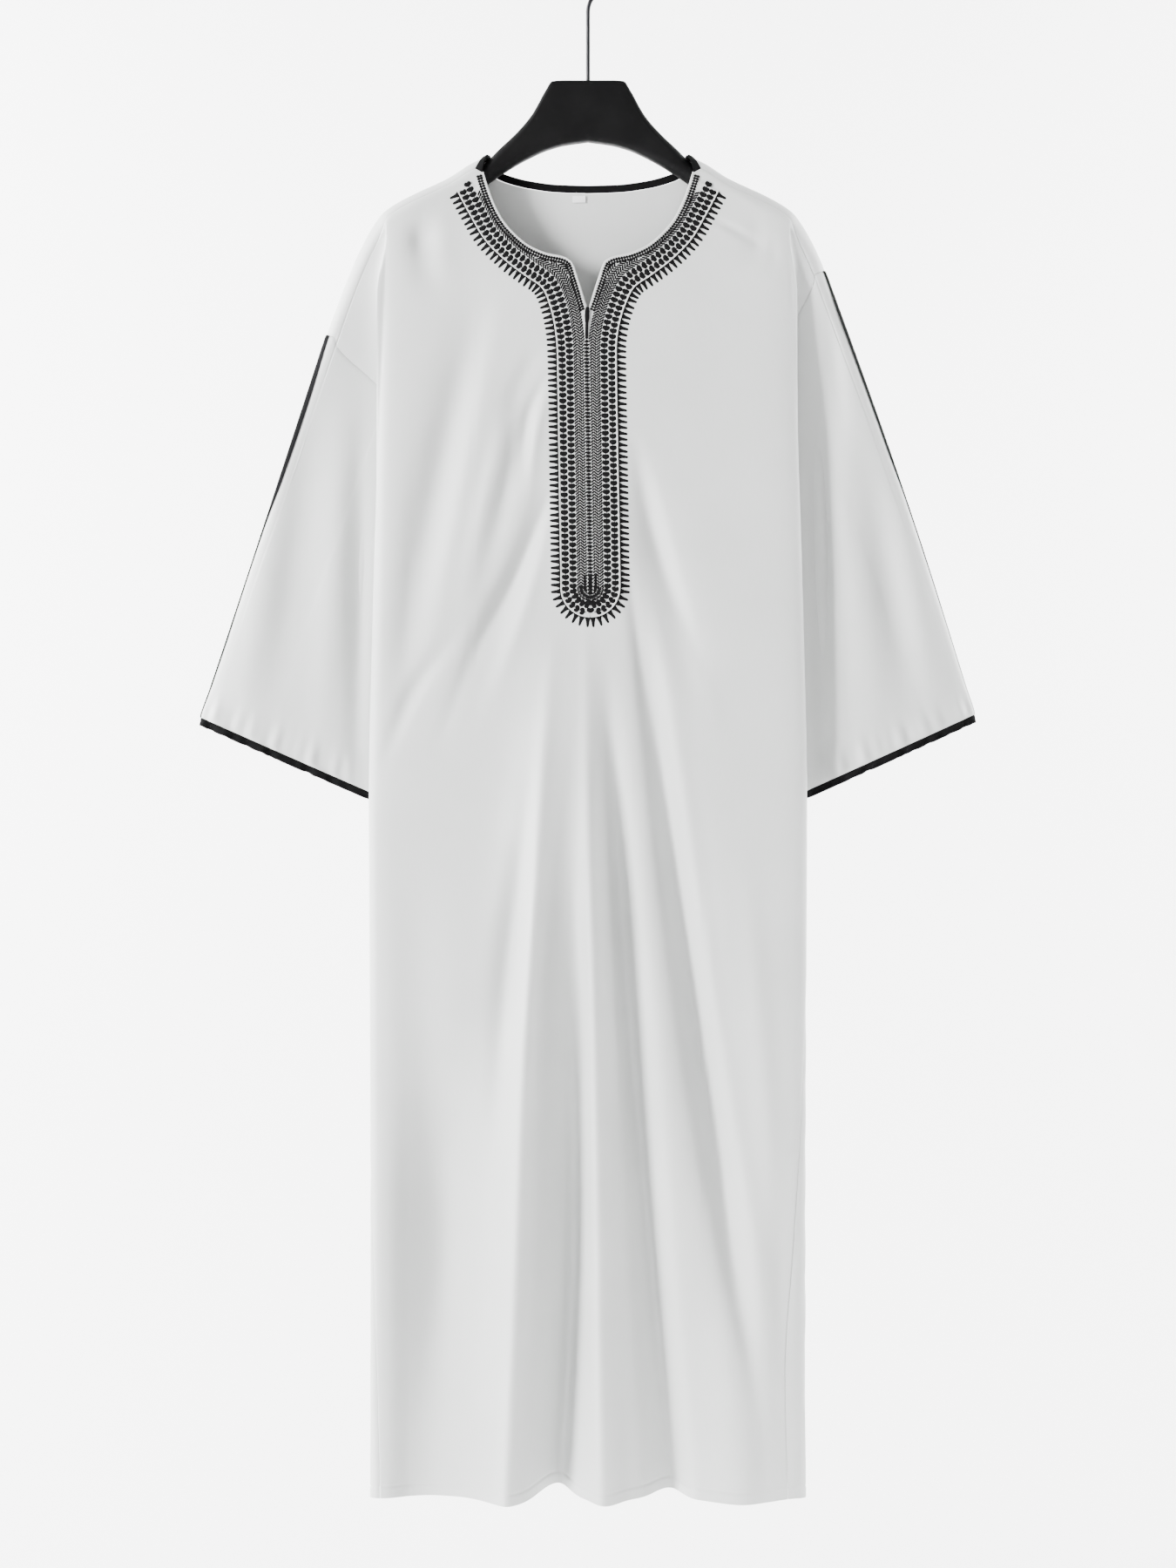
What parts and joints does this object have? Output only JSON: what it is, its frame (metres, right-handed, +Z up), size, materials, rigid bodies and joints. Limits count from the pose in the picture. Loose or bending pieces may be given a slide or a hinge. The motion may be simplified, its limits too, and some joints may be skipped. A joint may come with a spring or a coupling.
{
  "type": "thobe robe on a hanger",
  "caption": "Long loose robe of off-white satin twill with wide straight sleeves, black bindings and an embroidered neck band and slit, hung on a black shaped hanger with a hook",
  "frame": {"origin": "bearing point inside the curl of the hanger's hook, where the hanger rests on a rail", "axes": "+Z up along the hanging robe, the front with the embroidery faces -Y, +X to the right seen from the front"},
  "size_m": [0.7605, 0.1079, 1.5088],
  "materials": {
    "off_white_twill": "smooth off-white satin twill with a soft sheen",
    "black_binding": "matte black folded cotton binding and tape",
    "black_and_white_embroidery": "dense black and white thread embroidery",
    "black_plastic": "moulded matte black plastic",
    "dark_metal": "dark plated steel wire"
  },
  "bodies": {
    "root": {"front_panel": "off_white_twill", "back_panel": "off_white_twill", "sleeve_left": "off_white_twill", "sleeve_right": "off_white_twill", "cuff_binding_left": "black_binding", "cuff_binding_right": "black_binding", "sleeve_tape_left": "black_binding", "sleeve_tape_right": "black_binding", "neck_binding": "black_binding", "neck_piping": "off_white_twill", "embroidery_left": "black_and_white_embroidery", "embroidery_right": "black_and_white_embroidery", "slit_bar_tack": "black_binding", "size_label": "off_white_twill", "hanger_body": "black_plastic", "hanger_hook": "dark_metal"}
  },
  "joints": []
}
